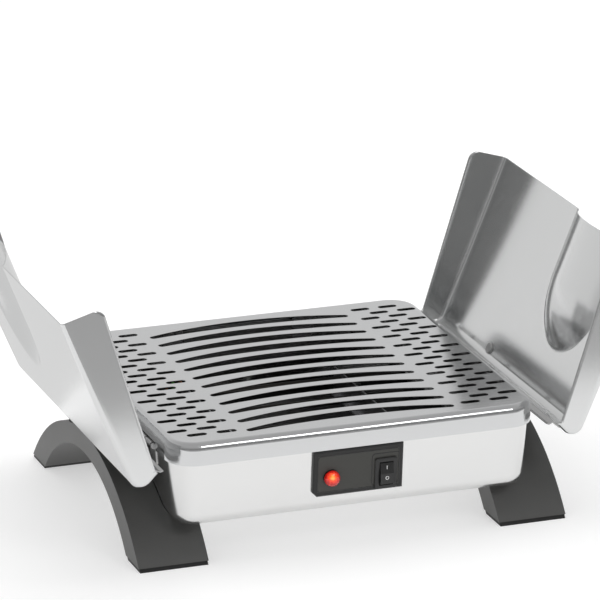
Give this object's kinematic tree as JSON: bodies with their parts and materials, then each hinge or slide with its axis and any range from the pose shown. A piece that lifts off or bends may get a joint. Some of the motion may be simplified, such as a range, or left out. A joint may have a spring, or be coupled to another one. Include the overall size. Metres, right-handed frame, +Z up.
{
  "type": "tabletop plate warmer",
  "caption": "Tabletop electric plate warmer: steel base with a slotted top that holds plates on edge, and folding steel lids that swing up as wings.",
  "frame": {"origin": "on the table under the middle of the base, which is the bottom centre of the bounding box with the lids open", "axes": "+X to the right when the control panel is faced, +Y to the back where the mains inlet is, +Z up"},
  "size_m": [0.5112, 0.312, 0.2317],
  "materials": {
    "pan_steel": "satin stainless",
    "grille_steel": "polished stainless",
    "lid_steel": "polished stainless",
    "hinge_steel": "satin stainless",
    "fixing_steel": "bright zinc",
    "foot_plastic": "fine grained black",
    "black_rubber": "matt",
    "panel_plastic": "fine grained charcoal",
    "switch_plastic": "black",
    "lens_red": "clear red",
    "holder_chrome": "bright",
    "bulb_glass": "clear",
    "reflector_aluminium": "bright",
    "element_steel": "heat darkened",
    "contact_brass": "plain",
    "heat_plastic": "cream heat proof",
    "inlet_plastic": "black",
    "wire_brown": "sleeved",
    "wire_green": "sleeved",
    "wire_white": "glass sleeved"
  },
  "bodies": {
    "base": {"base_pan": "pan_steel", "top_grille": "grille_steel", "right_hinge_rod": "hinge_steel", "left_hinge_rod": "hinge_steel", "right_hinge_brackets": "hinge_steel", "left_hinge_brackets": "hinge_steel", "grille_brackets": "fixing_steel", "grille_studs": "fixing_steel", "grille_nuts": "fixing_steel", "foot_screws": "fixing_steel", "panel_clips": "fixing_steel", "indicator_nut": "fixing_steel", "reflector_posts": "fixing_steel", "reflector_screws": "fixing_steel", "element_brackets": "fixing_steel", "earth_stud": "fixing_steel", "earth_nuts": "fixing_steel", "inlet_screws": "fixing_steel", "inlet_nuts": "fixing_steel", "right_foot": "foot_plastic", "left_foot": "foot_plastic", "right_foot_pads": "black_rubber", "left_foot_pads": "black_rubber", "lid_stops": "black_rubber", "control_panel": "panel_plastic", "switch_housing": "switch_plastic", "indicator_lens": "lens_red", "indicator_holder": "holder_chrome", "indicator_bulb": "bulb_glass", "reflector_tray": "reflector_aluminium", "heating_element": "element_steel", "switch_terminals": "contact_brass", "earth_tab": "contact_brass", "inlet_pins": "contact_brass", "terminal_block": "heat_plastic", "thermostat": "heat_plastic", "thermal_fuse": "heat_plastic", "mains_inlet": "inlet_plastic", "mains_wires": "wire_brown", "switch_wires": "wire_brown", "earth_wire": "wire_green", "heater_wires": "wire_white", "lamp_wire": "wire_white"},
    "right_lid": {"right_lid": "lid_steel", "right_lid_stud": "hinge_steel", "right_hinge_leaf": "hinge_steel", "right_lid_rivets": "hinge_steel"},
    "left_lid": {"left_lid": "lid_steel", "left_lid_stud": "hinge_steel", "left_hinge_leaf": "hinge_steel", "left_lid_rivets": "hinge_steel"},
    "rocker": {"rocker_button": "switch_plastic"}
  },
  "joints": [
    {"name": "right_lid_hinge", "type": "hinge", "parent": "base", "child": "right_lid", "pos_m": [0.1605, 0, 0.0912], "axis": [0, -1, 0], "range_deg": [0, 107]},
    {"name": "left_lid_hinge", "type": "hinge", "parent": "base", "child": "left_lid", "pos_m": [-0.1605, 0, 0.0912], "axis": [0, 1, 0], "range_deg": [0, 107]},
    {"name": "power_rocker", "type": "hinge", "parent": "base", "child": "rocker", "pos_m": [0.024, -0.14751, 0.06237], "axis": [1, 0, 0], "range_deg": [0, 16]}
  ]
}
